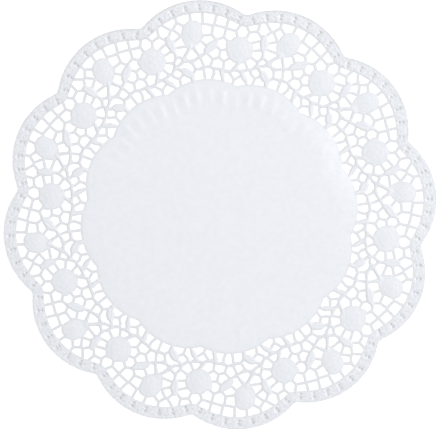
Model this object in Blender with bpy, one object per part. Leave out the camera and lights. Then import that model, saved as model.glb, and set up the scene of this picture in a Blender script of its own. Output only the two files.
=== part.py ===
"""Round lace-paper doily, 300 mm across, lying flat: one die-cut and embossed sheet.

Run it with: blender --background --python part.py
The scene is in metres, +Z up. The origin is the middle of the flat underside, and
four of the twelve scallops have their crests on +X, -X, +Y and -Y.
Sizes below are in millimetres. MM turns them into metres, once, as the mesh is made.
A place is given by its bearing, in degrees clockwise from the crest of its scallop as
seen from above, and by its radius from the middle of the doily.
"""

import math
from collections import namedtuple

import bmesh
import bpy
from mathutils import Vector
from mathutils.geometry import delaunay_2d_cdt

MM = 0.001
REPEATS = 12  # scallops round the rim, each over one repeat of the lace
STEP = 360.0 / REPEATS

OUTER_RADIUS = 150.0  # crest of a scallop
LOBE_ARC = 53.4  # radius of a scallop's edge
LOBE_STEPS = 12
RIM_INSIDE = 141.3  # the rim's inner edge, under a crest
RIM_ARC = 51.3
DISC_RADIUS = 95.4  # the middle disc has twelve shallow scallops of its own
DISC_ARC = 40.7

THICKNESS = 1.0
WEB_WIDTH = 1.8  # strands of the net
STEM_WIDTH = 1.8  # strands of the vine
CUT_HOLES = 25  # the largest of each repeat, which makes 300 in all
SHORT_SIDE = 1.2  # a hole's side shorter than this becomes one corner
REACH = 12.0  # a hole takes no notice of what lies further off

ROSE_HEIGHT = 0.8  # heights are above the sheet's top face, and the depth is below it
LEAF_HEIGHT = 0.4
FLUTE_HEIGHT = 0.5
DOT_DEPTH = 0.5

FLUTES = 60
FLUTE_LENGTH = 11.0
FLUTE_WIDTH = 3.0
FLUTE_INSET = 2.5  # from the disc's edge to a flute's outer end

DOT_WIDTH = 1.9
DOT_BEARINGS = [-39.0, -28.3, -17.0, -5.6, 5.6, 17.0, 28.3, 39.0]  # about the scallop's centre
DOT_INSETS = [3.7, 6.3]  # from the rim's outer edge

# The lace's holes in one repeat. Half-size weighs a hole against its neighbours.
Hole = namedtuple("Hole", "bearing radius half_size")
HOLES = [
    # along the rim
    Hole(-12.4, 132.2, 3.0),
    Hole(-9.0, 132.4, 3.8),
    Hole(-6.7, 136.8, 3.2),
    Hole(-2.9, 138.2, 3.3),
    Hole(1.0, 138.3, 3.2),
    Hole(4.7, 137.0, 3.8),
    Hole(8.1, 135.1, 3.7),
    Hole(11.4, 132.4, 3.3),
    Hole(14.7, 128.6, 3.5),
    # between the last valley rose and the crest rose
    Hole(-11.6, 126.2, 3.4),
    Hole(-6.5, 128.3, 2.9),
    Hole(-4.6, 132.0, 2.4),
    Hole(-5.0, 122.5, 3.0),
    Hole(-5.3, 116.5, 3.4),
    Hole(-10.4, 120.4, 2.9),
    Hole(-9.5, 114.4, 3.4),
    Hole(-10.9, 108.2, 3.5),
    Hole(-13.9, 105.0, 2.9),
    # between the crest rose and the next valley rose
    Hole(3.8, 129.0, 3.2),
    Hole(7.3, 127.6, 4.1),
    Hole(10.9, 125.7, 3.6),
    Hole(4.0, 122.4, 3.0),
    Hole(8.7, 119.4, 3.3),
    Hole(1.2, 117.0, 3.0),
    Hole(5.9, 113.4, 3.3),
    Hole(9.3, 111.8, 2.9),
    # over the vine
    Hole(-2.0, 112.4, 3.2),
    Hole(-7.1, 110.3, 2.0),
    Hole(-4.6, 105.8, 2.6),
    Hole(-0.3, 106.6, 2.9),
    Hole(2.9, 108.5, 3.0),
    Hole(6.9, 105.4, 3.6),
    Hole(11.6, 105.3, 3.8),
    # along the middle disc
    Hole(-8.5, 102.6, 2.8),
    Hole(-10.5, 98.8, 2.2),
    Hole(-13.9, 93.9, 3.2),
    Hole(-6.0, 97.3, 2.8),
    Hole(-0.3, 99.0, 3.3),
    Hole(3.5, 99.4, 3.2),
    Hole(6.7, 97.3, 3.0),
    Hole(11.2, 95.8, 2.8),
    Hole(13.7, 99.4, 2.4),
]

# Solid motifs are chains of round spots, each joined to the next by straight flanks.
Spot = namedtuple("Spot", "bearing radius half_width")
ROSES = [
    [Spot(-0.9, 128.6, 7.4), Spot(-1.6, 122.0, 4.5)],  # crest rose, drawn in to its stem
    [Spot(14.35, 116.0, 8.4)],  # valley rose
]
LEAVES = [
    [Spot(-9.2, 127.0, 1.4), Spot(-8.5, 122.0, 3.0), Spot(-7.9, 117.5, 1.0)],
    [Spot(2.6, 113.9, 1.2), Spot(5.1, 117.9, 2.6), Spot(7.3, 121.8, 0.9)],
    [Spot(-6.0, 103.2, 1.2), Spot(-4.6, 101.0, 2.6), Spot(-2.6, 99.6, 1.0)],
    [Spot(-14.0, 99.2, 1.0), Spot(-12.6, 97.6, 1.6), Spot(-11.3, 95.6, 1.0)],
    [Spot(8.3, 101.4, 1.2), Spot(8.7, 98.2, 1.3), Spot(9.3, 95.0, 1.0)],
]
Turn = namedtuple("Turn", "bearing radius")
STEMS = [
    # the vine, from one repeat to the next
    [Turn(-1.1, 103.4), Turn(2.3, 104.7), Turn(6.2, 102.7), Turn(10.2, 101.2), Turn(18.0, 103.5)],
    [Turn(-7.4, 106.8), Turn(-4.0, 104.6), Turn(-2.2, 100.6)],  # the hook round a leaf
    [Turn(-10.0, 105.5), Turn(-5.0, 112.2), Turn(-2.6, 117.6)],  # to the crest rose
    [Turn(-9.7, 106.5), Turn(-7.9, 112.0), Turn(-7.9, 116.5)],  # to the leaf beside it
    [Turn(-7.6, 108.2), Turn(-4.6, 110.0), Turn(2.6, 113.9)],  # to the leaf beyond it
    [Turn(11.4, 101.0), Turn(14.0, 108.0)],  # to the valley rose
]


def place(bearing, radius):
    angle = math.radians(bearing)
    return Vector((radius * math.sin(angle), radius * math.cos(angle)))


def turned(point, repeat):
    """The same place in another repeat, counted clockwise."""
    angle = math.radians(repeat * STEP)
    across = point.x * math.cos(angle) + point.y * math.sin(angle)
    up = point.y * math.cos(angle) - point.x * math.sin(angle)
    return Vector((across, up))


def trimmed(corners, towards, limit):
    """The part of a polygon that reaches no further than limit in one direction."""
    kept = []
    for here, following in zip(corners, corners[1:] + corners[:1]):
        over = here.dot(towards) - limit
        over_next = following.dot(towards) - limit
        if over <= 0:
            kept.append(here)
        if over * over_next < 0:
            kept.append(here.lerp(following, over / (over - over_next)))
    return kept


def walls_of_chain(point, chain):
    """Towards each link of a chain: its direction and how far off its flank is."""
    links = list(zip(chain, chain[1:])) or [(chain[0], chain[0])]
    walls = []
    for (start, start_width), (end, end_width) in links:
        run = end - start
        share = 0.0
        if run.length > 0:
            share = min(max((point - start).dot(run) / run.length_squared, 0.0), 1.0)
        away = start + run * share - point
        half_width = start_width + (end_width - start_width) * share
        walls.append((away.normalized(), away.length - half_width))
    return walls


def walls_of_edges(point):
    """The rim round a hole and the scalloped disc inside it, each as a direction and a distance."""
    rims = []
    walls = []
    for repeat in (-1, 0, 1):
        out = point - turned(Vector((0, RIM_INSIDE - RIM_ARC)), repeat)
        rims.append((RIM_ARC - out.length, out.normalized().to_tuple()))
        inward = turned(Vector((0, DISC_RADIUS - DISC_ARC)), repeat) - point
        walls.append((inward.normalized(), inward.length - DISC_ARC))
    room, direction = max(rims)
    return walls + [(Vector(direction), room)]


def motif_chains():
    """Every rose, leaf and stem of this repeat and the two beside it, as (centre, half width)."""
    chains = [[(place(s.bearing, s.radius), s.half_width) for s in motif] for motif in ROSES + LEAVES]
    chains += [[(place(t.bearing, t.radius), STEM_WIDTH / 2) for t in stem] for stem in STEMS]
    return [[(turned(spot, repeat), width) for spot, width in chain] for chain in chains for repeat in (-1, 0, 1)]


def hole_corners(index, chains):
    """A hole is the room that its neighbours, the motifs, the rim and the disc leave it."""
    middle = place(HOLES[index].bearing, HOLES[index].radius)
    size = HOLES[index].half_size
    corners = [middle + Vector(c) for c in ((-REACH, -REACH), (REACH, -REACH), (REACH, REACH), (-REACH, REACH))]
    walls = walls_of_edges(middle)
    for chain in chains:
        walls += walls_of_chain(middle, chain)
    for other in HOLES:
        for repeat in (-1, 0, 1):
            away = turned(place(other.bearing, other.radius), repeat) - middle
            if 0 < away.length < 2 * REACH:
                share = (away.length_squared + size**2 - other.half_size**2) / (2 * away.length)
                walls.append((away.normalized(), share - WEB_WIDTH / 2))
    for direction, distance in walls:
        if distance < REACH:
            corners = trimmed(corners, direction, middle.dot(direction) + distance)
    return without_short_sides(corners)


def without_short_sides(corners):
    while len(corners) > 4:
        sides = [((b - a).length, i) for i, (a, b) in enumerate(zip(corners, corners[1:] + corners[:1]))]
        length, shortest = min(sides)
        if length > SHORT_SIDE:
            break
        after = (shortest + 1) % len(corners)
        corners[shortest] = (corners[shortest] + corners[after]) / 2
        del corners[after]
    return corners


def area(corners):
    return sum(a.cross(b) for a, b in zip(corners, corners[1:] + corners[:1])) / 2


def cut_holes():
    chains = motif_chains()
    repeat_holes = sorted((hole_corners(i, chains) for i in range(len(HOLES))), key=area, reverse=True)
    return [[turned(c, repeat) for c in hole] for hole in repeat_holes[:CUT_HOLES] for repeat in range(REPEATS)]


def outline():
    """Twelve arcs that meet in a valley half a repeat from each crest."""
    lobe_centre = OUTER_RADIUS - LOBE_ARC
    half_step = math.radians(STEP / 2)
    half_sweep = half_step + math.asin(lobe_centre * math.sin(half_step) / LOBE_ARC)
    points = []
    for repeat in range(REPEATS):
        for step in range(LOBE_STEPS):
            angle = half_sweep * (2 * step / LOBE_STEPS - 1)
            on_arc = Vector((LOBE_ARC * math.sin(angle), lobe_centre + LOBE_ARC * math.cos(angle)))
            points.append(turned(on_arc, repeat))
    return points[::-1]


class Relief:
    """Points that the embossing lifts off the top face or presses in, and the creases between them."""

    def __init__(self):
        self.points = []
        self.heights = []
        self.creases = []

    def line(self, points, height, closed=False):
        first = len(self.points)
        self.points += points
        self.heights += [height] * len(points)
        count = len(points)
        self.creases += [(first + i, first + (i + 1) % count) for i in range(count if closed else count - 1)]


def ring(middle, radius, corners, turn=0.0):
    angles = [turn + 2 * math.pi * i / corners for i in range(corners)]
    return [middle + radius * Vector((math.cos(a), math.sin(a))) for a in angles]


def emboss_roses(relief, repeat):
    """A raised ring of petals round a lower heart."""
    for rose in ROSES:
        head = rose[0]
        middle = turned(place(head.bearing, head.radius), repeat)
        relief.line(ring(middle, head.half_width * 0.82, 8), 0.0, closed=True)
        relief.line(ring(middle, head.half_width * 0.55, 6), ROSE_HEIGHT, closed=True)
        relief.line([middle], ROSE_HEIGHT / 2)


def emboss_leaves(relief, repeat):
    for leaf in LEAVES:
        middle = leaf[1]
        relief.line([turned(place(middle.bearing, middle.radius), repeat)], LEAF_HEIGHT)


def emboss_flutes(relief):
    """Short radial ribs just inside the edge of the middle disc."""
    for index in range(FLUTES):
        bearing = 360.0 * (index + 0.5) / FLUTES
        from_crest = math.radians((bearing + STEP / 2) % STEP - STEP / 2)
        lobe_centre = DISC_RADIUS - DISC_ARC
        edge = lobe_centre * math.cos(from_crest)
        edge += math.sqrt(DISC_ARC**2 - (lobe_centre * math.sin(from_crest)) ** 2)
        out = place(bearing, 1.0)
        side = out.orthogonal() * FLUTE_WIDTH / 2
        outer = out * (edge - FLUTE_INSET)
        inner = out * (edge - FLUTE_INSET - FLUTE_LENGTH)
        base = [outer, (outer + inner) / 2 + side, inner, (outer + inner) / 2 - side]
        relief.line(base, 0.0, closed=True)
        relief.line([outer.lerp(inner, 0.25), outer.lerp(inner, 0.75)], FLUTE_HEIGHT)


def press_dots(relief, repeat):
    """Pairs of small dots pressed into the rim, one behind the other."""
    lobe_centre = Vector((0, OUTER_RADIUS - LOBE_ARC))
    for bearing in DOT_BEARINGS:
        for inset in DOT_INSETS:
            middle = turned(lobe_centre + place(bearing, LOBE_ARC - inset), repeat)
            relief.line(ring(middle, DOT_WIDTH / 2, 4, math.radians(45 - bearing - repeat * STEP)), 0.0, closed=True)
            relief.line([middle], -DOT_DEPTH)


def embossing():
    relief = Relief()
    for repeat in range(REPEATS):
        emboss_roses(relief, repeat)
        emboss_leaves(relief, repeat)
        press_dots(relief, repeat)
    emboss_flutes(relief)
    return relief


def filled(loops, relief):
    """Triangles between the first loop and the others, which are holes."""
    points = [point for loop in loops for point in loop]
    faces = []
    for loop in loops:
        first = faces[-1][-1] + 1 if faces else 0
        faces.append(list(range(first, first + len(loop))))
    count = len(points)
    creases = [(count + a, count + b) for a, b in relief.creases]
    inside = 1
    made, _, triangles, _, _, owners = delaunay_2d_cdt(points + relief.points, creases, faces, inside, 1e-4)
    if len(made) != count + len(relief.points):
        raise SystemExit("the embossing crosses a hole")
    return [t for t, owner in zip(triangles, owners) if owner == [0]]


def sheet_mesh():
    loops = [outline()] + [hole for hole in cut_holes()]
    flat = [point for loop in loops for point in loop]
    relief = embossing()
    mesh = bmesh.new()
    under = [mesh.verts.new((p.x * MM, p.y * MM, 0)) for p in flat]
    top = [mesh.verts.new((p.x * MM, p.y * MM, THICKNESS * MM)) for p in flat]
    for point, height in zip(relief.points, relief.heights):
        top.append(mesh.verts.new((point.x * MM, point.y * MM, (THICKNESS + height) * MM)))
    for a, b, c in filled(loops, relief):
        mesh.faces.new((top[a], top[b], top[c]))
    for a, b, c in filled(loops, Relief()):
        mesh.faces.new((under[a], under[c], under[b]))
    first = 0
    for loop in loops:
        for i in range(len(loop)):
            here, following = first + i, first + (i + 1) % len(loop)
            mesh.faces.new((under[here], under[following], top[following], top[here]))
        first += len(loop)
    bmesh.ops.recalc_face_normals(mesh, faces=mesh.faces)
    return mesh


def paper():
    """Bleached embossed paper: smooth, cool white, a little gloss."""
    material = bpy.data.materials.new("white embossed paper")
    material.use_nodes = True
    shader = material.node_tree.nodes["Principled BSDF"]
    shader.inputs["Base Color"].default_value = (0.84, 0.86, 0.90, 1.0)
    shader.inputs["Roughness"].default_value = 0.55
    shader.inputs["Metallic"].default_value = 0.0
    return material


def main():
    for thing in list(bpy.data.objects):
        bpy.data.objects.remove(thing, do_unlink=True)
    shape = sheet_mesh()
    data = bpy.data.meshes.new("doily")
    shape.to_mesh(data)
    shape.free()
    data.materials.append(paper())
    doily = bpy.data.objects.new("doily", data)
    bpy.context.scene.collection.objects.link(doily)


main()
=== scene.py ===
import math
import bmesh
import bpy
from mathutils import Matrix, Vector, noise
from mathutils.geometry import delaunay_2d_cdt


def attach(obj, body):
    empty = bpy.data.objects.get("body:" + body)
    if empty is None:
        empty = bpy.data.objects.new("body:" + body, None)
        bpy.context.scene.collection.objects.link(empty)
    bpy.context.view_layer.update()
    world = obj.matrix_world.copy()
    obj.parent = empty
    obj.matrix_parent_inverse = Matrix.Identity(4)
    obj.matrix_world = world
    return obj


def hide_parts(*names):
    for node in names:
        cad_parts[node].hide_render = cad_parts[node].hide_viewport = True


# Lengths are millimetres, unless they say metres. mm turns them into metres, once, as a mesh is made.
# A place is either (bearing, radius), the bearing in degrees clockwise from the crest of its
# scallop, or (across, out), with out running from the middle of the doily through the crest.
mm = 0.001

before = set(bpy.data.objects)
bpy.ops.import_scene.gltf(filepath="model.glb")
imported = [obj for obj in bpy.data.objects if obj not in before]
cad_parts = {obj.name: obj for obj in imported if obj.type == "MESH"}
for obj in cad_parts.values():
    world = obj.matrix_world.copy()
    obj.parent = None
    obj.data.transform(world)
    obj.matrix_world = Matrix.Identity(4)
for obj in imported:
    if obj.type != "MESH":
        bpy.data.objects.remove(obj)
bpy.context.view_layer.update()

doily = {
    "repeats": 12,
    "crest": 149.8,  # a scallop's crest from the middle
    "lobeArc": 50.5,  # radius of a scallop's edge
    "valleyBlend": 1.5,  # how softly two scallops run into each other
    "edgeSteps": 70,  # points along one scallop
    "rimInside": 140.8,  # the rim's inner edge, under a crest
    "rimArc": 43.0,
    "rimBlend": 5.0,  # how softly its arcs run into each other in the valleys
    "disc": 96.0,  # the plain middle has twelve shallow scallops of its own
    "discArc": 40.7,
    "deepest": 15.0,  # no valley between two scallops is as deep as this
    "thickness": 0.18,
    "joinWithin": 0.02,
    "smoothUnder": 55.0,  # degrees between two faces
}
step = 360.0 / doily["repeats"]


def place(bearing, radius):
    angle = math.radians(bearing)
    return Vector((radius * math.sin(angle), radius * math.cos(angle)))


# The same place in another repeat, counted clockwise.
def turned(point, repeat):
    angle = math.radians(repeat * step)
    across = point.x * math.cos(angle) + point.y * math.sin(angle)
    out = point.y * math.cos(angle) - point.x * math.sin(angle)
    return Vector((across, out))


def smooth(share):
    share = min(max(share, 0.0), 1.0)
    return share * share * (3 - 2 * share)


# The greater of two distances, rounded where they are alike.
def softGreater(here, beside, blend):
    return (here + beside + math.sqrt((here - beside) ** 2 + blend**2)) / 2


# Each hole of the net as one or more cells (across, out, half size). Half size weighs a cell against
# its neighbours, and a bent hole takes several cells.
netHoles = [
    # along the rim
    [(-28.6, 129.8, 3.0)], [(-20.8, 130.5, 3.6)], [(-16.6, 136.0, 3.2)], [(-6.5, 138.1, 3.3)],
    [(2.4, 137.6, 2.9)], [(11.2, 136.5, 3.8)], [(18.9, 133.3, 3.7)], [(26.8, 130.0, 3.5)],
    [(32.4, 124.4, 3.3)],
    # between the last valley rose and the crest rose
    [(-25.4, 123.6, 3.4)], [(-14.6, 127.5, 2.9)], [(-10.6, 131.6, 2.4)], [(-10.9, 122.0, 3.0)],
    [(-10.8, 116.2, 3.4)], [(-21.7, 118.5, 2.9)], [(-18.9, 112.8, 3.4)], [(-20.5, 106.2, 3.5)],
    [(-25.2, 101.9, 2.9)],
    # between the crest rose and the next valley rose
    [(8.6, 128.7, 3.2)], [(16.2, 126.6, 4.1)], [(23.8, 123.4, 3.6)], [(8.5, 122.1, 3.0)],
    [(18.0, 118.0, 3.3)], [(2.7, 116.9, 3.0)], [(11.6, 112.8, 3.3)], [(18.0, 110.3, 2.9)],
    # over the vine
    [(-3.9, 112.3, 3.2)], [(-13.7, 109.4, 2.0)],
    [(-8.9, 106.6, 2.4), (-5.6, 104.4, 2.0), (-12.4, 105.8, 1.6)],
    [(-0.6, 106.6, 2.9)], [(5.5, 108.4, 3.0)], [(12.7, 105.0, 3.4)], [(21.0, 103.2, 3.6)],
    # along the middle disc
    [(-15.2, 101.6, 2.6)], [(-17.6, 96.6, 2.2), (-20.6, 98.9, 1.2)], [(-22.6, 91.2, 3.2)],
    [(-10.4, 96.8, 2.8)], [(-0.5, 99.0, 3.3)], [(6.1, 99.2, 3.2)], [(11.2, 96.4, 2.8), (12.0, 99.4, 2.0)],
    [(18.4, 94.2, 2.8)], [(23.5, 96.5, 2.3)],
]
net = {
    "webWidth": 1.9,
    "cornerSharpness": 15.0,  # higher is sharper
    "reach": 14.0,  # a hole takes no notice of what lies further off
    "nudge": 0.02,  # for the slope of the room that is left
    "stride": 0.25,  # between the points first found along a cut
    "mostStrides": 400,
    "closesWithin": 0.2,  # of the first point
    "longestSide": 1.35,  # between points kept along a cut
    "sideError": 0.05,
}

# A motif is a chain of round spots, (across, out, half width), joined by straight flanks.
crestRose = {
    "spots": [
        (-1.8, 129.0, 7.35), (-0.2, 130.6, 5.8), (-2.6, 125.6, 6.9), (-4.0, 120.9, 4.0), (-2.9, 118.8, 1.7),
    ],
    "petals": 9, "petalDepth": 0.35, "turn": 20.0,
}
crestRosePetal = {"spots": [(3.4, 125.2, 1.8), (3.9, 124.7, 1.8)]}
valleyRose = {
    "spots": [(28.8, 112.5, 9.35), (21.2, 116.4, 1.7), (21.9, 117.9, 1.8), (33.4, 119.2, 2.1)],
    "petals": 8, "petalDepth": 0.5, "turn": 8.0,
}
roses = [crestRose, valleyRose]
leaves = [
    [(-20.1, 127.0, 0.7), (-18.9, 125.9, 1.9), (-17.4, 122.2, 3.1), (-16.6, 118.8, 2.2), (-15.4, 115.6, 0.8)],
    [(4.6, 112.6, 0.7), (6.6, 115.0, 2.3), (9.2, 117.0, 3.2), (12.2, 118.8, 2.7), (15.0, 121.0, 0.8)],
    [(-12.4, 104.0, 0.9), (-10.2, 102.6, 2.6), (-8.2, 101.0, 3.0), (-5.8, 99.3, 2.0), (-5.3, 96.1, 1.5)],
    [(-24.6, 98.6, 0.6), (-22.8, 96.9, 1.5), (-20.8, 95.2, 1.9), (-18.9, 93.6, 1.3), (-17.5, 92.3, 0.6)],
    [(14.2, 101.2, 0.8), (14.7, 99.1, 1.6), (15.0, 97.2, 1.7), (15.2, 95.4, 1.3), (15.4, 92.6, 1.0)],
]
vineWidth = 1.6
stemWidth = 2.4
twigWidth = 1.75
tipWidth = 1.2
vines = [
    (vineWidth, [(-29.0, 98.2), (-26.5, 98.4), (-24.4, 99.0), (-22.8, 100.2), (-21.5, 101.0), (-19.9, 101.4),
                 (-18.8, 102.3), (-17.7, 104.3), (-16.8, 106.2), (-16.4, 108.0), (-15.7, 110.5),
                 (-15.3, 112.6), (-15.2, 116.0)]),
    (vineWidth, [(-16.9, 105.6), (-13.8, 106.9), (-12.6, 107.9), (-11.4, 109.0), (-8.3, 109.2), (-5.5, 109.3),
                 (-2.0, 110.0), (0.5, 110.8), (3.0, 111.6), (5.0, 112.8)]),
    (vineWidth, [(-2.4, 103.4), (0.5, 103.4), (3.3, 104.2), (6.0, 104.2), (8.3, 103.5), (10.5, 102.4),
                 (13.0, 101.7), (15.5, 100.6), (18.0, 99.8), (20.5, 99.2), (23.0, 99.2), (26.5, 98.6),
                 (30.0, 98.3)]),
    (vineWidth, [(-16.6, 105.8), (-14.2, 105.0), (-12.4, 104.0)]),
    (stemWidth, [(-10.6, 109.6), (-9.8, 111.4), (-7.5, 114.4), (-5.2, 117.3), (-4.0, 119.5)]),
    (stemWidth, [(22.5, 99.6), (24.5, 101.5), (27.0, 103.6), (27.6, 105.0)]),
    (twigWidth, [(-15.3, 113.6), (-12.5, 112.6), (-10.3, 111.8)]),
    (twigWidth, [(1.1, 111.6), (0.2, 114.0), (-0.9, 116.2), (-2.0, 118.4)]),
    (tipWidth, [(-2.4, 103.4), (-2.9, 101.9), (-4.2, 100.2)]),
]


# How far a point is outside a chain of round spots, and where along it: (distance, off axis, share).
def nearestOnChain(point, spots):
    best = None
    links = list(zip(spots, spots[1:])) or [(spots[0], spots[0])]
    for index, (start, end) in enumerate(links):
        base = Vector(start[:2])
        run = Vector(end[:2]) - base
        share = 0.0
        if run.length_squared > 0:
            share = min(max((point - base).dot(run) / run.length_squared, 0.0), 1.0)
        offAxis = (point - base - run * share).length
        distance = offAxis - start[2] - (end[2] - start[2]) * share
        if best is None or distance < best[0]:
            best = (distance, offAxis, (index + share) / len(links))
    return best


# A rose's head is round, with its petals' edges showing as shallow scallops.
def petalledRadius(rose, direction):
    angle = math.atan2(direction.y, direction.x) - math.radians(rose["turn"])
    bump = abs(math.cos(rose["petals"] / 2 * angle))
    return rose["spots"][0][2] - rose["petalDepth"] * (1 - bump)


def outsideRose(point, rose):
    away = point - Vector(rose["spots"][0][:2])
    distance = away.length - petalledRadius(rose, away)
    if len(rose["spots"]) > 1:
        distance = min(distance, nearestOnChain(point, rose["spots"][1:])[0])
    return distance


# How far a point is inside twelve arcs, each reaching out to the same distance from the middle.
def insideScallops(point, reach, arc, blend):
    centres = [turned(Vector((0.0, reach - arc)), repeat) for repeat in (-1, 0, 1)]
    rooms = sorted(arc - (point - centre).length for centre in centres)
    plain = reach - doily["deepest"] - point.length  # a plain circle that all the arcs overlap
    return max(plain, softGreater(rooms[2], rooms[1], blend))


def insideDisc(point):
    return insideScallops(point, doily["disc"], doily["discArc"], 0.0)


# How far a point is from the rim's inner edge, towards the middle.
def insideRim(point):
    return insideScallops(point, doily["rimInside"], doily["rimArc"], doily["rimBlend"])


def insideEdge(point):
    return insideScallops(point, doily["crest"], doily["lobeArc"], doily["valleyBlend"])


# From the middle out to one arc.
def arcRadius(bearing, reach, arc):
    angle = math.radians(bearing)
    centre = reach - arc
    return centre * math.cos(angle) + math.sqrt(arc**2 - (centre * math.sin(angle)) ** 2)


# The outer edge: round scallops that run softly into each other in the valleys.
def edgeRadius(bearing):
    bearing = abs((bearing + step / 2) % step - step / 2)
    here = arcRadius(bearing, doily["crest"], doily["lobeArc"])
    beside = arcRadius(step - bearing, doily["crest"], doily["lobeArc"])
    return softGreater(here, beside, doily["valleyBlend"])


def discRadius(bearing):
    return arcRadius(bearing, doily["disc"], doily["discArc"])


# Leaves, vines and loose petals of this repeat and the two beside it.
def allChains():
    chains = leaves + [crestRosePetal["spots"]]
    chains += [[(across, out, width / 2) for across, out in turns] for width, turns in vines]
    found = []
    for repeat in (-1, 0, 1):
        for spots in chains:
            found.append([turned(Vector(spot[:2]), repeat).to_tuple() + (spot[2],) for spot in spots])
    return found


def allRoses():
    found = []
    for repeat in (-1, 0, 1):
        for rose in roses:
            spots = [turned(Vector(spot[:2]), repeat).to_tuple() + (spot[2],) for spot in rose["spots"]]
            found.append({**rose, "spots": spots, "turn": rose["turn"] - repeat * step})
    return found


chainsNear = allChains()
rosesNear = allRoses()
leavesNear = [
    [turned(Vector(spot[:2]), repeat).to_tuple() + (spot[2],) for spot in leaf]
    for leaf in leaves for repeat in (-1, 0, 1)
]
vinesNear = [
    [turned(Vector(turn), repeat).to_tuple() + (width / 2,) for turn in turns]
    for width, turns in vines for repeat in (-1, 0, 1)
]


def outsideMotifs(point):
    fromRoses = [outsideRose(point, rose) for rose in rosesNear]
    fromLeaves = [nearestOnChain(point, leaf)[0] for leaf in leavesNear]
    return min(fromRoses + fromLeaves)


# The least of some distances, with the corner between two of them rounded.
def softLeast(distances):
    sharpness = net["cornerSharpness"]
    least = min(distances)
    return least - math.log(sum(math.exp(sharpness * (least - one)) for one in distances)) / sharpness


# What bounds one cell of a hole: half-planes shared with its neighbours, and the motifs in reach.
def wallsRound(cell, hole):
    middle = Vector(cell[:2])
    planes = []
    for other in netHoles:
        for across, out, size in other:
            for repeat in (-1, 0, 1):
                away = turned(Vector((across, out)), repeat) - middle
                if away.length < net["reach"] and not (other is hole and repeat == 0):
                    share = (away.length_squared + cell[2] ** 2 - size**2) / (2 * away.length)
                    direction = away.normalized()
                    planes.append((direction, middle.dot(direction) + share - net["webWidth"] / 2))
    chains = [chain for chain in chainsNear if nearestOnChain(middle, chain)[0] < net["reach"]]
    heads = [rose for rose in rosesNear if outsideRose(middle, rose) < net["reach"]]
    return planes, chains, heads


def roomInCell(point, planes, chains, heads):
    distances = [limit - point.dot(direction) for direction, limit in planes]
    distances += [nearestOnChain(point, chain)[0] for chain in chains]
    distances += [outsideRose(point, rose) for rose in heads]
    distances += [-insideDisc(point), insideRim(point)]
    return softLeast(distances)


# A closed line with fewer points: close together round a corner, far apart on a straight side.
def thinned(corners):
    loop = corners + corners[:1]
    kept = []
    start = 0
    while start < len(corners):
        kept.append(loop[start])
        end = start + 1
        while end < len(corners) and onOneSide(loop[start:end + 2]):
            end += 1
        start = end
    return kept


def onOneSide(run):
    chord = run[-1] - run[0]
    if chord.length > net["longestSide"]:
        return False
    along = chord.normalized()
    return max(abs((point - run[0]).cross(along)) for point in run) < net["sideError"]


def roomInHole(point, cells):
    return max(roomInCell(point, *cell) for cell in cells)


# Which way the room grows from a point, and how much there is.
def uphill(point, cells):
    nudge = net["nudge"]
    here = roomInHole(point, cells)
    across = roomInHole(point + Vector((nudge, 0)), cells) - here
    out = roomInHole(point + Vector((0, nudge)), cells) - here
    return Vector((across, out)), here


def ontoEdge(point, cells):
    for _ in range(3):
        slope, here = uphill(point, cells)
        point = point - slope.normalized() * here
    return point, slope.normalized()


# Round a hole just inside its walls: a stride along them, then a step back to where no room is left.
def holeEdge(hole):
    cells = [wallsRound(cell, hole) for cell in hole]
    point = Vector(hole[0][:2])
    while roomInHole(point, cells) > net["nudge"]:
        point = point + Vector((roomInHole(point, cells), 0))
    point, slope = ontoEdge(point, cells)
    corners = [point]
    for _ in range(net["mostStrides"]):
        point, slope = ontoEdge(point + Vector((slope.y, -slope.x)) * net["stride"], cells)
        if len(corners) > 4 and (point - corners[0]).length < net["closesWithin"]:
            break
        corners.append(point)
    if sum(here.cross(after) for here, after in zip(corners, corners[1:] + corners[:1])) < 0:
        corners.reverse()
    return thinned(corners)


holeEdges = [holeEdge(hole) for hole in netHoles]
print("lace planned,", len(holeEdges), "holes a repeat")


relief = {
    "lace": 0.75,  # level of the net
    "rim": 0.80,
    "rimSlope": 1.8,
    "cutDrop": 0.08,  # a cut edge in the net is drawn down by the die
    "discDrop": 0.03,
    "edgeDrop": 0.05,  # the outer edge is rounded over
    "edgeRound": 1.7,
    "edgeRows": (0.55, 1.4),  # rows of points along the outer edge
    "edgeMargin": 1.0,  # nothing nearer to the outer edge is a cut in the net
    "discMargin": 0.3,  # a cut as near as this to the middle belongs to it
}
# The plain middle stands a little above the net: a short edge, then a slow rise.
discRelief = {"edge": 0.08, "edgeWidth": 1.6, "rise": 0.10, "riseWidth": 20.0, "rows": (0.8, 1.8)}
# On one side the sheet dips, and the middle's edge slopes down with a sheen on it.
dip = {"towards": 18.0, "spread": 16.0, "depth": 1.3, "width": 17.5, "out": 45.0, "rimShare": 0.35}
roseRelief = {
    "dome": 0.24,
    # count, distance and size as shares of the rose, and turn
    "petals": [(6, 0.58, 0.44, 0.0), (4, 0.28, 0.34, 35.0), (1, 0.0, 0.20, 0.0)],
    "layer": 0.07,  # each ring of petals lies over the one outside it
    "lip": 0.13,
    "lipEdge": 0.20,
    "cup": 0.75,  # share of the lip's height that is gone in a petal's middle
    "margin": 0.1,  # it ends this far outside its outline
}
leafRelief = {"dome": 0.38, "rib": 0.24, "ribWidth": 0.55}
vineRelief = {"dome": 0.26}
flutes = {
    "count": 60, "turn": -2.4, "length": 13.0, "inset": 4.6, "height": 0.26,
    "slowFlank": 6.0,  # each leans over, with a long flank on one side and a steep one on the other
    "steepFlank": 1.9,
    "taper": 4.0,  # at both ends
    "clearest": 84.0,  # they stand clear on one side, from +X, and are nearly pressed flat on the other
    "least": 0.22,
    "halfwayAt": 0.62,  # cosine of the turn away from there at which they are half as clear
    "fade": 1.3,
    "unevenness": 0.7,
    "unevenOver": 8.0,  # degrees
    "unevenLayer": (0.5, 9.2),  # where the noise is cut
}
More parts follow.
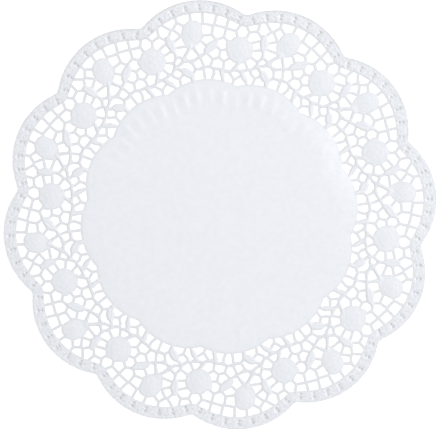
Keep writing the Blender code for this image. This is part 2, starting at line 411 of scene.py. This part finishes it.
dots = {
    "pairs": 8,
    "pitch": 12.0,  # degrees about the scallop's own centre
    "insets": (3.6, 6.0),  # from the outer edge
    "widths": (2.7, 2.2),
    "floor": 0.5,  # share of the width that is flat at the bottom
    "floorPoints": 5,
    "rimPoints": 8,
    "depth": 0.55,
}


# Rings of round cupped petals, each with a soft lip, on a low dome.
def roseHeight(point):
    height = 0.0
    for rose in rosesNear:
        if outsideRose(point, rose) > roseRelief["margin"]:
            continue
        middle, size = Vector(rose["spots"][0][:2]), rose["spots"][0][2]
        height = roseRelief["dome"] * max(0.0, 1 - ((point - middle).length / size) ** 2)
        tallest = 0.0
        for layer, (count, away, petalSize, turn) in enumerate(roseRelief["petals"]):
            for petal in range(count):
                centre = middle + place(turn - rose["turn"] + 360 * petal / count, away * size)
                share = (point - centre).length / (petalSize * size)
                if share < 1:
                    cup = roseRelief["lip"] * (1 - roseRelief["cup"] + roseRelief["cup"] * share**2)
                    cup *= smooth((1 - share) / roseRelief["lipEdge"])
                    tallest = max(tallest, layer * roseRelief["layer"] + cup)
        height += tallest
    return height


# A rounded blade, pressed in along its midrib.
def leafHeight(point):
    height = 0.0
    for chain in leavesNear:
        distance, offAxis, share = nearestOnChain(point, chain)
        if distance < 0:
            across = offAxis / (offAxis - distance)
            rib = math.exp(-((offAxis / leafRelief["ribWidth"]) ** 2)) * smooth(4 * min(share, 1 - share))
            height = max(height, leafRelief["dome"] * (1 - across * across) - leafRelief["rib"] * rib)
    return height


def vineHeight(point):
    height = 0.0
    for chain in vinesNear:
        distance, offAxis, _ = nearestOnChain(point, chain)
        if distance < 0:
            across = offAxis / (offAxis - distance)
            height = max(height, vineRelief["dome"] * (1 - across * across))
    return height


# The flutes of one repeat and the nearest beside it as (direction, outer end, inner end), from the middle.
def flutePlaces():
    found = []
    pitch = 360.0 / flutes["count"]
    across = round(step / pitch)
    for index in range(-1, across + 1):
        bearing = flutes["turn"] + pitch * (index + 0.5 - across / 2)
        outer = discRadius(bearing) - flutes["inset"]
        found.append((place(bearing, 1.0), outer, outer - flutes["length"]))
    return found


flutesHere = flutePlaces()


# How clear the flutes are in one direction, from 0 to about 1.
def fluteShare(at):
    turn = math.atan2(at.y, at.x) - math.radians(flutes["clearest"])
    uneven = noise.noise(Vector((math.degrees(turn) / flutes["unevenOver"], *flutes["unevenLayer"])))
    nearness = smooth(0.5 + flutes["fade"] * (math.cos(turn) - flutes["halfwayAt"]))
    clear = flutes["least"] + (1 - flutes["least"]) * nearness
    return clear * (1 + flutes["unevenness"] * uneven)


def fluteHeight(point):
    height = 0.0
    for direction, outer, inner in flutesHere:
        along = point.dot(direction)
        across = point.x * direction.y - point.y * direction.x
        flank = flutes["steepFlank"] if across > 0 else flutes["slowFlank"]
        if abs(across) < flank and inner < along < outer:
            ends = smooth((along - inner) / flutes["taper"]) * smooth((outer - along) / flutes["taper"])
            height = max(height, flutes["height"] * ends * smooth(1 - abs(across) / flank))
    return height


def dotPlaces():
    centre = Vector((0.0, doily["crest"] - doily["lobeArc"]))
    found = []
    for pair in range(dots["pairs"]):
        bearing = dots["pitch"] * (pair - (dots["pairs"] - 1) / 2)
        for inset, width in zip(dots["insets"], dots["widths"]):
            found.append((centre + place(bearing, doily["lobeArc"] - inset), width))
    return found


dotsHere = dotPlaces()


def dotDepth(point):
    nearest = min(2 * (point - dot).length / width for dot, width in dotsHere)
    return dots["depth"] * (1 - smooth((nearest - dots["floor"]) / (1 - dots["floor"])))


def dipAt(at, inDisc):
    turn = (math.degrees(math.atan2(at.y, at.x)) - dip["towards"] + 180) % 360 - 180
    share = math.exp(-0.5 * (turn / dip["spread"]) ** 2)
    if inDisc > 0:
        return dip["depth"] * share * max(0.0, 1 - inDisc / dip["width"]) ** 2
    return dip["depth"] * share * (1 - (1 - dip["rimShare"]) * smooth(-inDisc / dip["out"]))


# Small cockles in the sloping edge, clearest where the sheet dips.
cockles = {
    "height": 0.22,
    "length": 5.0,
    "layer": 5.3,  # where the noise is cut
    "least": 0.15,
    "from": 2.0,  # in from the middle's edge
    "to": 22.0,
    "fade": 10.0,
}


def cockleAt(at, inDisc):
    share = cockles["least"] + (1 - cockles["least"]) * dipAt(at, 0.0) / dip["depth"]
    size = cockles["length"]
    band = smooth(inDisc / cockles["from"]) * smooth((cockles["to"] - inDisc) / cockles["fade"])
    uneven = noise.noise(Vector((at.x / size, at.y / size, cockles["layer"])))
    return cockles["height"] * share * band * uneven


def heightAt(point):
    inDisc = insideDisc(point)
    if inDisc > 0:
        edge = discRelief["edge"] * smooth(inDisc / discRelief["edgeWidth"])
        rise = discRelief["rise"] * (2 * smooth(0.5 + 0.5 * inDisc / discRelief["riseWidth"]) - 1)
        return relief["lace"] + edge + rise
    room = insideRim(point)
    if room < 0:
        level = relief["lace"] + (relief["rim"] - relief["lace"]) * smooth(-room / relief["rimSlope"])
        level -= relief["edgeDrop"] * (1 - smooth(insideEdge(point) / relief["edgeRound"]))
        return level - dotDepth(point)
    return relief["lace"] + max(roseHeight(point), leafHeight(point), vineHeight(point))


spacing = {
    "web": 0.85,  # from a cut to the middle of the web beside it
    "rose": 0.78,
    "belt": 0.85,
    "rim": 1.3,
    "fluted": 1.7,
    "plain": 3.6,
    "edgeRow": 0.5,
    "discRow": 0.6,
    "dotMiddle": 0.2,
    "dotRing": 0.25,
    "flute": 0.5,
    "webLine": 0.35,  # kept clear beside the line between two repeats
    "webPastRim": 1.0,  # how far onto the rim they may go
    "webShare": 0.84,  # of its spacing, the least between two points along a web
    "evenShare": 0.72,  # the same in the even filling
    "lineShare": 0.45,  # kept clear beside that line
    "rowShare": 0.866,  # between the rows of an even lattice
    "low": (-40.0, 0.0),  # corners of a box round one repeat
    "high": (40.0, 151.0),
}
# Where one spacing gives way to the next.
zones = {
    "flutedFrom": 72.0,  # from the middle, along the line between two repeats
    "laceFrom": 90.0,
    "flutedBand": 17.0,  # from the edge of the middle disc
    "besideDisc": 0.4,
    "besideEdge": 0.6,
}


# Points kept at least some distance apart.
class PointStore:

    def __init__(self):
        self.cell = 4.0
        self.cells = {}
        self.points = []

    def near(self, point, distance):
        column, row = int(point.x // self.cell), int(point.y // self.cell)
        for nearColumn in (column - 1, column, column + 1):
            for nearRow in (row - 1, row, row + 1):
                for other in self.cells.get((nearColumn, nearRow), ()):
                    if (other - point).length_squared < distance * distance:
                        return True
        return False

    def keep(self, point):
        self.cells.setdefault((int(point.x // self.cell), int(point.y // self.cell)), []).append(point)

    def offer(self, point, distance):
        if not self.near(point, distance):
            self.keep(point)
            self.points.append(point)


# How far inside the two lines that part one repeat from the next.
def inSector(point, margin):
    across = min(point.dot(place(step / 2 - 90, 1.0)), point.dot(place(90 - step / 2, 1.0)))
    return across > margin


# Distances from the middle of the points along a line between two repeats.
def lineRadii():
    radii = [0.0]
    while radii[-1] < edgeRadius(step / 2):
        here = radii[-1]
        if here < zones["flutedFrom"]:
            radii.append(here + spacing["plain"])
        elif here < zones["laceFrom"]:
            radii.append(here + spacing["fluted"])
        else:
            radii.append(here + spacing["rose"])
    return radii[1:-1]


# One repeat's outline, anticlockwise from the middle.
def sectorEdge():
    half = step / 2
    bearings = [half - step * index / doily["edgeSteps"] for index in range(doily["edgeSteps"] + 1)]
    edge = [Vector((0.0, 0.0))]
    edge += [place(half, radius) for radius in lineRadii()]
    edge += [place(bearing, edgeRadius(bearing)) for bearing in bearings]
    edge += [place(-half, radius) for radius in reversed(lineRadii())]
    return edge


# A closed line moved outwards.
def widened(corners, distance):
    moved = []
    for before, here, after in zip(corners[-1:] + corners[:-1], corners, corners[1:] + corners[:1]):
        along = (after - before).normalized()
        moved.append(here + Vector((along.y, -along.x)) * distance)
    return moved


def latticePoints(pitch):
    low, high = Vector(spacing["low"]), Vector(spacing["high"])
    rows = int((high.y - low.y) / (pitch * spacing["rowShare"])) + 1
    columns = int((high.x - low.x) / pitch) + 1
    for row in range(rows):
        out = low.y + row * pitch * spacing["rowShare"]
        for column in range(columns):
            yield Vector((low.x + (column + (row % 2) / 2) * pitch, out))


def ringPoints(middle, radius, count):
    return [middle + place(360 * index / count, radius) for index in range(count)]


# Points that the edges, dots and flutes need, before the even filling.
def offerRelief(store):
    bearings = [step * (index + 0.5) / doily["edgeSteps"] - step / 2 for index in range(doily["edgeSteps"])]
    for inset in relief["edgeRows"]:
        for bearing in bearings:
            store.offer(place(bearing, edgeRadius(bearing) - inset), spacing["edgeRow"])
    for inset in discRelief["rows"]:
        for bearing in bearings[::2]:
            store.offer(place(bearing, discRadius(bearing) - inset), spacing["discRow"])
    for dot, width in dotsHere:
        store.offer(dot, spacing["dotMiddle"])
        rings = ringPoints(dot, dots["floor"] * width / 2, dots["floorPoints"])
        rings += ringPoints(dot, width / 2, dots["rimPoints"])
        for point in rings:
            if inSector(point, spacing["dotRing"]):
                store.offer(point, spacing["dotRing"])
    offerFlutes(store)


# Four rows of points along each flute: one on its long flank, its crest, and two down the steep one.
def offerFlutes(store):
    stops = 8
    for direction, outer, inner in flutesHere:
        side = Vector((direction.y, -direction.x))
        for stop in range(stops + 1):
            middle = direction * (inner + (outer - inner) * stop / stops)
            for across in (-0.2 * flutes["slowFlank"], 0.0, 0.5 * flutes["steepFlank"], flutes["steepFlank"]):
                point = middle + side * across
                if inSector(point, spacing["flute"]):
                    store.offer(point, spacing["flute"])


# Points inside one repeat: along the middle of each web, then evenly, close where the relief is fine.
def fillSector(edge, holes):
    store = PointStore()
    for loop in [edge] + holes:
        for point in loop:
            store.keep(point)
    offerRelief(store)
    for loop in holes:
        for point in widened(loop, spacing["web"]):
            if inSector(point, spacing["webLine"]) and insideRim(point) > -spacing["webPastRim"]:
                store.offer(point, spacing["web"] * spacing["webShare"])
    for zone in ("rose", "belt", "rim", "fluted", "plain"):
        pitch = spacing[zone]
        for point in latticePoints(pitch):
            if zoneOf(point) == zone and inSector(point, pitch * spacing["lineShare"]):
                store.offer(point, pitch * spacing["evenShare"])
    return store.points


def zoneOf(point):
    inDisc = insideDisc(point)
    if inDisc > zones["flutedBand"]:
        return "plain"
    if inDisc > zones["besideDisc"]:
        return "fluted"
    bearing = math.degrees(math.atan2(point.x, point.y))
    if point.length > edgeRadius(bearing) - zones["besideEdge"]:
        return "outside"
    if insideRim(point) < 0:
        return "rim"
    return "rose" if outsideMotifs(point) < 0 else "belt"


# The holes of this repeat and those that reach into it from beside it.
def holesInReach():
    holes = []
    for repeat in (-1, 0, 1):
        for loop in holeEdges:
            loop = [turned(point, repeat) for point in loop]
            if any(inSector(point, -0.5) for point in loop):
                holes.append(loop)
    return holes


# Triangles of one repeat, with the holes left out.
def repeatMesh():
    edge = sectorEdge()
    holes = holesInReach()
    inside = fillSector(edge, holes)
    points = edge + [point for loop in holes for point in loop] + inside
    faces = []
    first = 0
    for loop in [edge] + holes:
        faces.append(list(range(first, first + len(loop))))
        first += len(loop)
    made, _, triangles, _, _, owners = delaunay_2d_cdt(points, [], faces, 1, 1e-5)
    mesh = bmesh.new()
    corners = {}
    for triangle, owner in zip(triangles, owners):
        if owner != [0]:  # 0 is the sheet, and the others are holes
            continue
        for corner in triangle:
            if corner not in corners:
                at = made[corner]
                corners[corner] = mesh.verts.new((at.x * mm, at.y * mm, heightAt(at) * mm))
        mesh.faces.new([corners[corner] for corner in triangle])
    print("one repeat:", len(mesh.verts), "points,", len(mesh.faces), "triangles")
    return mesh


def deselectAll():
    bpy.ops.object.select_all(action="DESELECT")


def makeActive(piece):
    deselectAll()
    piece.select_set(True)
    bpy.context.view_layer.objects.active = piece


def applyModifier(piece, kind, name, **settings):
    makeActive(piece)
    modifier = piece.modifiers.new(name, kind)
    for key, value in settings.items():
        setattr(modifier, key, value)
    bpy.ops.object.modifier_apply(modifier=modifier.name)


# Eleven more copies, each turned by one repeat, and all joined along their lines.
def repeatRound(piece):
    deselectAll()
    bpy.ops.object.empty_add(location=(0, 0, 0), rotation=(0, 0, math.radians(step)))
    turn = bpy.context.object
    applyModifier(
        piece, "ARRAY", "repeats", count=doily["repeats"], use_relative_offset=False, use_object_offset=True,
        offset_object=turn, use_merge_vertices=True, use_merge_vertices_cap=True,
        merge_threshold=doily["joinWithin"] * mm,
    )
    bpy.data.objects.remove(turn)


# How much each point is greyed, 0 to 1: painted shade along the cuts, webs and vines, round the motifs'
# edges, along the middle's edge, along both rim edges (heavier on one side) and in the pits, and a light grey
# tone on the motifs and the rim.
pressed = {
    "motif": 0.06,
    "motifLine": 0.2,  # round its edge
    "motifLineWidth": 1.0,
    "vine": 0.27,
    "web": 0.29,
    "cut": 0.5,
    "discEdge": 0.34,
    "discLine": 0.22,  # just inside it
    "discLineFrom": 0.8,
    "discLineFade": 1.2,
    "rim": 0.15,
    "rimLine": 0.26,  # along both edges of the rim
    "darkerLine": 0.43,  # more on one side
    "darkerSide": 85.0,  # from +X
    "lineWidth": 1.3,
    "dot": 0.76,
    "dotFrom": 0.1,  # how deep it has to be
}


def inOneRepeat(at):
    bearing = math.degrees(math.atan2(at.x, at.y))
    return turned(Vector((at.x, at.y)), -round(bearing / step))


# Painted shade on the rim: darkest in the pits, and a grey line along both its edges, heavier towards one
# side, over a light grey tone.
def pressedOnRim(point, at):
    if dotDepth(point) > pressed["dotFrom"]:
        return pressed["dot"]
    turn = math.atan2(at.y, at.x) - math.radians(pressed["darkerSide"])
    line = pressed["rimLine"] + pressed["darkerLine"] * smooth(math.cos(turn))
    fromLine = min(insideEdge(point), -insideRim(point)) / pressed["lineWidth"]
    return pressed["rim"] + (line - pressed["rim"]) * (1 - smooth(fromLine - 0.2))


# Painted shade at the cuts, webs, vines, motif edges and the middle's edge, and a light grey tone on the
# motifs.
def pressedAt(point, at, onCut):
    inDisc = insideDisc(point)
    if inDisc > relief["discMargin"]:
        fromLine = (inDisc - pressed["discLineFrom"]) / pressed["discLineFade"]
        return pressed["discLine"] * (1 - smooth(fromLine))
    if insideRim(point) < 0:
        return pressedOnRim(point, at)
    if onCut:
        return pressed["discEdge"] if inDisc > -relief["discMargin"] else pressed["cut"]
    fromMotif = outsideMotifs(point)
    if fromMotif < 0:
        return pressed["motif"] if fromMotif < -pressed["motifLineWidth"] else pressed["motifLine"]
    return pressed["vine"] if vineHeight(point) > 0 else pressed["web"]


waves = {
    "height": 0.10,
    "length": 70.0,
    "layer": 3.7,  # where the noise is cut
    "fine": 0.03,
    "fineLength": 24.0,
    "fineLayer": 8.1,
}


def waveAt(at):
    slow = noise.noise(Vector((at.x / waves["length"], at.y / waves["length"], waves["layer"])))
    fineSize = waves["fineLength"]
    quick = noise.noise(Vector((at.x / fineSize, at.y / fineSize, waves["fineLayer"])))
    return waves["height"] * slow + waves["fine"] * quick


# No loose points, and every face turned up.
def setFaces(mesh):
    loose = [vert for vert in mesh.verts if not vert.link_faces]
    bmesh.ops.delete(mesh, geom=loose, context="VERTS")
    bmesh.ops.recalc_face_normals(mesh, faces=mesh.faces)
    if sum(face.normal.z for face in mesh.faces) < 0:
        bmesh.ops.reverse_faces(mesh, faces=mesh.faces)


# What differs from one repeat to the next: flutes, cockles, the dip and slow waves. Cut edges are drawn down,
# and each point is given its painted shade and grey tone, and whether it lies on the rim's grain.
def settle(piece):
    mesh = bmesh.new()
    mesh.from_mesh(piece.data)
    bmesh.ops.remove_doubles(mesh, verts=mesh.verts, dist=doily["joinWithin"] * mm)
    # painted shade and grey tone, 0 to 1, and where the rim's grain lies
    mesh.verts.layers.float.new("pressed")
    mesh.verts.layers.float.new("grained")
    pressedLayer = mesh.verts.layers.float["pressed"]
    grainedLayer = mesh.verts.layers.float["grained"]
    for vert in mesh.verts:
        at = vert.co / mm
        folded = inOneRepeat(at)
        inDisc = insideDisc(folded)
        vert[pressedLayer] = pressedAt(folded, at, vert.is_boundary)
        vert[grainedLayer] = smooth(-insideRim(folded))
        if inDisc > 0:
            at.z += fluteHeight(folded) * fluteShare(at) + cockleAt(at, inDisc)
        if vert.is_boundary and insideEdge(folded) > relief["edgeMargin"]:
            at.z -= relief["discDrop"] if inDisc > -relief["discMargin"] else relief["cutDrop"]
        at.z -= dipAt(at, inDisc)
        at.z += waveAt(at)
        vert.co = at * mm
    setFaces(mesh)
    mesh.to_mesh(piece.data)
    mesh.free()


# The lowest point of the sheet touches the table.
def rest(piece):
    lowest = min(vert.co.z for vert in piece.data.vertices)
    piece.data.transform(Matrix.Translation((0, 0, -lowest)))


def buildSheet():
    shape = repeatMesh()
    data = bpy.data.meshes.new("lacePaperSheet")
    shape.to_mesh(data)
    shape.free()
    sheet = bpy.data.objects.new("lace_paper_sheet", data)
    bpy.context.scene.collection.objects.link(sheet)
    repeatRound(sheet)
    settle(sheet)
    print("sheet joined,", len(sheet.data.polygons), "triangles on top")
    applyModifier(
        sheet, "SOLIDIFY", "paper",
        thickness=doily["thickness"] * mm, offset=0.0, use_even_offset=False,
    )
    rest(sheet)
    makeActive(sheet)
    bpy.ops.object.shade_smooth_by_angle(angle=math.radians(doily["smoothUnder"]))
    count = sum(len(face.vertices) - 2 for face in sheet.data.polygons)
    print("sheet given its thickness,", count, "triangles")
    return sheet


# An sRGB colour such as "eef0f4" as the linear values that a shader takes.
def linear(hexColour):
    channels = []
    for start in (0, 2, 4):
        value = int(hexColour[start:start + 2], 16) / 255
        channels.append(value / 12.92 if value <= 0.04045 else ((value + 0.055) / 1.055) ** 2.4)
    return (*channels, 1.0)


# Adds a node. Settings are its own values or, by name or number, an input's; links give an input's source.
def addNode(material, kind, settings=None, links=None):
    node = material.node_tree.nodes.new(kind)
    for key, value in (settings or {}).items():
        if isinstance(key, str) and hasattr(node, key):
            setattr(node, key, value)
        else:
            node.inputs[key].default_value = value
    for key, source in (links or {}).items():
        material.node_tree.links.new(source, node.inputs[key])
    return node


def newMaterial(name):
    material = bpy.data.materials.new(name)
    material.use_nodes = True
    material.node_tree.nodes.clear()
    return material


# Bleached cellulose paper, calendered, then embossed and die-cut: a cool white with a low sheen on the
# pressed faces, faint clouds where the fibres lie thicker, and painted shade as a greyer line at each cut,
# along the edges and in the pits.
paper = {
    "white": "eef0f4",
    "cloud": "e3e6ec",
    # the grey that the painted shade and grey tone mix towards
    "pressed": "cecfd2",
    "smoothest": 0.37,
    "roughest": 0.50,
    "cloudSize": 3.2,  # mm
    "fibre": 0.35,  # mm, drawn coarser than real fibres so that it shows
    "fibreHeight": 0.02,
    "grain": 1.7,  # mm, the pebbled ground of the rim
    "grainShade": 0.25,
    "grainHeight": 0.10,
}
noiseRange = {"From Min": 0.3, "From Max": 0.7}  # nearly all values of a noise lie between these


# The rim's pebbled ground, -1 to 1, and 0 off the rim.
def rimGrain(material, where):
    pebbles = addNode(
        material, "ShaderNodeTexNoise",
        {"Scale": 1 / (paper["grain"] * mm), "Detail": 1.0, "Roughness": 0.5},
        {"Vector": where},
    )
    spread = addNode(
        material, "ShaderNodeMapRange",
        {**noiseRange, "To Min": -1.0, "To Max": 1.0},
        {"Value": pebbles.outputs["Fac"]},
    )
    onRim = addNode(material, "ShaderNodeAttribute", {"attribute_name": "grained"})
    return addNode(
        material, "ShaderNodeMath",
        {"operation": "MULTIPLY"},
        {0: spread.outputs["Result"], 1: onRim.outputs["Fac"]},
    )


# Clouded white, greyed where the painted shade and grey tone lie, and mottled on the rim. Inputs 6 and 7 of a
# mix are its two colours.
def paperColour(material, clouds, grain):
    body = addNode(
        material, "ShaderNodeMix",
        {"data_type": "RGBA", 6: linear(paper["cloud"]), 7: linear(paper["white"])},
        {"Factor": clouds.outputs["Fac"]},
    )
    press = addNode(material, "ShaderNodeAttribute", {"attribute_name": "pressed"})
    grainAndShade = addNode(
        material, "ShaderNodeMath",
        {"operation": "MULTIPLY_ADD", "use_clamp": True, 1: paper["grainShade"]},
        {0: grain.outputs[0], 2: press.outputs["Fac"]},
    )
    return addNode(
        material, "ShaderNodeMix",
        {"data_type": "RGBA", 7: linear(paper["pressed"])},
        {"Factor": grainAndShade.outputs[0], 6: body.outputs[2]},
    )


# Fibres everywhere, over pebbles on the rim.
def paperBump(material, where, grain):
    pebbles = addNode(
        material, "ShaderNodeBump",
        {"Strength": 0.6, "Distance": paper["grainHeight"] * mm, "invert": True},
        {"Height": grain.outputs[0]},
    )
    fibres = addNode(
        material, "ShaderNodeTexNoise",
        {"Scale": 1 / (paper["fibre"] * mm), "Detail": 2.0, "Roughness": 0.7},
        {"Vector": where},
    )
    return addNode(
        material, "ShaderNodeBump",
        {"Strength": 0.35, "Distance": paper["fibreHeight"] * mm},
        {"Height": fibres.outputs["Fac"], "Normal": pebbles.outputs["Normal"]},
    )


def embossedPaper():
    material = newMaterial("bleached cellulose paper, embossed and die-cut")
    where = addNode(material, "ShaderNodeTexCoord").outputs["Object"]
    clouds = addNode(
        material, "ShaderNodeTexNoise",
        {"Scale": 1 / (paper["cloudSize"] * mm), "Detail": 3.0, "Roughness": 0.6},
        {"Vector": where},
    )
    grain = rimGrain(material, where)
    colour = paperColour(material, clouds, grain)
    gloss = addNode(
        material, "ShaderNodeMapRange",
        {**noiseRange, "To Min": paper["smoothest"], "To Max": paper["roughest"]},
        {"Value": clouds.outputs["Fac"]},
    )
    bump = paperBump(material, where, grain)
    shader = addNode(
        material, "ShaderNodeBsdfPrincipled", {"IOR": 1.45, "Metallic": 0.0},
        {
            "Base Color": colour.outputs[2],
            "Roughness": gloss.outputs["Result"],
            "Normal": bump.outputs["Normal"],
        },
    )
    addNode(material, "ShaderNodeOutputMaterial", links={"Surface": shader.outputs["BSDF"]})
    return material


# Opal acrylic with lamps under it: an even white that takes only faint shadows.
tableTop = {
    "white": "8c8c8c",
    "roughness": 0.8,
    "specular": 0.2,
    "glow": 0.84,
    "size": 8.0,  # metres
    "below": 0.05,  # mm under the sheet
}


def opalAcrylic():
    material = newMaterial("opal acrylic, lit from below")
    shader = addNode(
        material, "ShaderNodeBsdfPrincipled",
        {
            "Base Color": linear(tableTop["white"]),
            "Roughness": tableTop["roughness"],
            "Specular IOR Level": tableTop["specular"],
            "Emission Color": linear("ffffff"),
            "Emission Strength": tableTop["glow"],
        },
    )
    addNode(material, "ShaderNodeOutputMaterial", links={"Surface": shader.outputs["BSDF"]})
    return material


def buildFloor():
    deselectAll()
    bpy.ops.mesh.primitive_plane_add(size=tableTop["size"], location=(0, 0, 0))
    floor = bpy.context.object
    floor.name = "table_top"
    floor.data.transform(Matrix.Translation((0, 0, -tableTop["below"] * mm)))
    floor.data.materials.append(opalAcrylic())


# A broad soft light on the +X side, a weak near one on the +Y side, and white all round. Bearings run
# from +X, heights are degrees above the table, and distances and sizes are metres.
lights = {
    "key": {"bearing": 3.0, "height": 42.0, "distance": 4.6, "size": 2.1, "power": 150.0},
    "fill": {"bearing": 80.0, "height": 62.0, "distance": 1.3, "size": 0.9, "power": 1.65},
}
surround = {"colour": "ffffff", "strength": 0.505}


def buildLights():
    for name, light in lights.items():
        turn, rise = math.radians(light["bearing"]), math.radians(light["height"])
        toLight = Vector((math.cos(turn) * math.cos(rise), math.sin(turn) * math.cos(rise), math.sin(rise)))
        aim = (-toLight).to_track_quat("-Z", "Y").to_euler()
        bpy.ops.object.light_add(type="AREA", location=toLight * light["distance"], rotation=aim)
        lamp = bpy.context.object
        lamp.name = name + "_light"
        lamp.data.shape = "DISK"
        lamp.data.size = light["size"]
        lamp.data.energy = light["power"]
    world = bpy.data.worlds.new("white room")
    world.use_nodes = True
    background = world.node_tree.nodes["Background"]
    background.inputs["Color"].default_value = linear(surround["colour"])
    background.inputs["Strength"].default_value = surround["strength"]
    bpy.context.scene.world = world
    bpy.context.scene.view_settings.view_transform = "Standard"


view = {
    "distance": 1.5,  # metres
    "tilt": 8.244,  # from straight above
    "towards": 66.0,  # the side that the camera stands on, from +X
    "up": 82.675,  # the direction that the camera holds up, from +X
    "aim": (0.91, 1.48),
    "lens": 178.2,
    "sensor": 36.0,
}


def buildCamera():
    side, tilt, up = (math.radians(view[key]) for key in ("towards", "tilt", "up"))
    aim = Vector((*view["aim"], 0.0)) * mm
    back = Vector((math.cos(side) * math.sin(tilt), math.sin(side) * math.sin(tilt), math.cos(tilt)))
    right = Vector((math.cos(up), math.sin(up), 0.0)).cross(back).normalized()
    turn = Matrix((right, back.cross(right), back)).transposed()
    bpy.ops.object.camera_add(location=aim + back * view["distance"], rotation=turn.to_euler())
    camera = bpy.context.object
    camera.data.lens = view["lens"]
    camera.data.sensor_width = view["sensor"]
    bpy.context.scene.camera = camera


buildCamera()
buildLights()
buildFloor()
print("camera, lights and table in place")
sheet = buildSheet()
sheet.data.materials.append(embossedPaper())
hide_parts("doily")
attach(sheet, "root")
print("sheet dressed")
